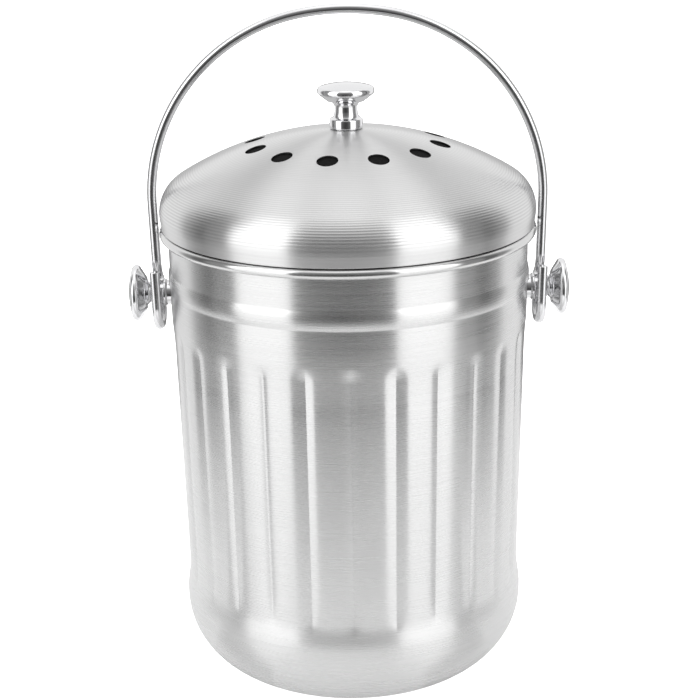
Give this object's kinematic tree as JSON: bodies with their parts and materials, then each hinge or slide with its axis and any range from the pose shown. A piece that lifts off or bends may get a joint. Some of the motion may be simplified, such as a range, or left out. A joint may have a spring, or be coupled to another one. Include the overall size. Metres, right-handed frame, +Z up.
{
  "type": "countertop compost caddy",
  "caption": "Fluted steel kitchen caddy with a rolled rim, swinging wire bail on stud pivots, and a lift-off vented dome lid holding a charcoal filter.",
  "frame": {"origin": "centre of the underside, on the surface that the caddy stands on", "axes": "+Z up, the bail's pivot line along X, the front of the bucket towards -Y"},
  "size_m": [0.2184, 0.1846, 0.3357],
  "materials": {
    "brushed_steel": "satin",
    "bail_wire": "polished",
    "chrome": "mirror",
    "fastener_steel": "plain",
    "seal_rubber": "matte",
    "charcoal_felt": "matte",
    "black_plastic": "matte"
  },
  "bodies": {
    "bucket": {"bucket": "brushed_steel", "pivot_screw_left": "fastener_steel", "pivot_screw_right": "fastener_steel", "pivot_washer_left": "fastener_steel", "pivot_washer_right": "fastener_steel", "pivot_seal_left": "seal_rubber", "pivot_seal_right": "seal_rubber", "pivot_sleeve_left": "chrome", "pivot_sleeve_right": "chrome", "side_knob_left": "chrome", "side_knob_right": "chrome"},
    "bail": {"bail_handle": "bail_wire"},
    "lid": {"lid_dome": "brushed_steel", "lid_plug_ring": "brushed_steel", "lid_gasket": "seal_rubber", "lid_knob": "chrome", "knob_stud": "fastener_steel", "knob_washer": "fastener_steel", "knob_nut": "fastener_steel", "charcoal_filter": "charcoal_felt", "filter_holder": "black_plastic", "thumb_nut": "black_plastic"}
  },
  "joints": [
    {"name": "bail_swing", "type": "hinge", "parent": "bucket", "child": "bail", "pos_m": [0, 0, 0.1953], "axis": [1, 0, 0], "range_deg": [-139, 139]},
    {"name": "lid_lift", "type": "slide", "parent": "bucket", "child": "lid", "axis": [0, 0, 1], "range_m": [0, 0.012]}
  ]
}
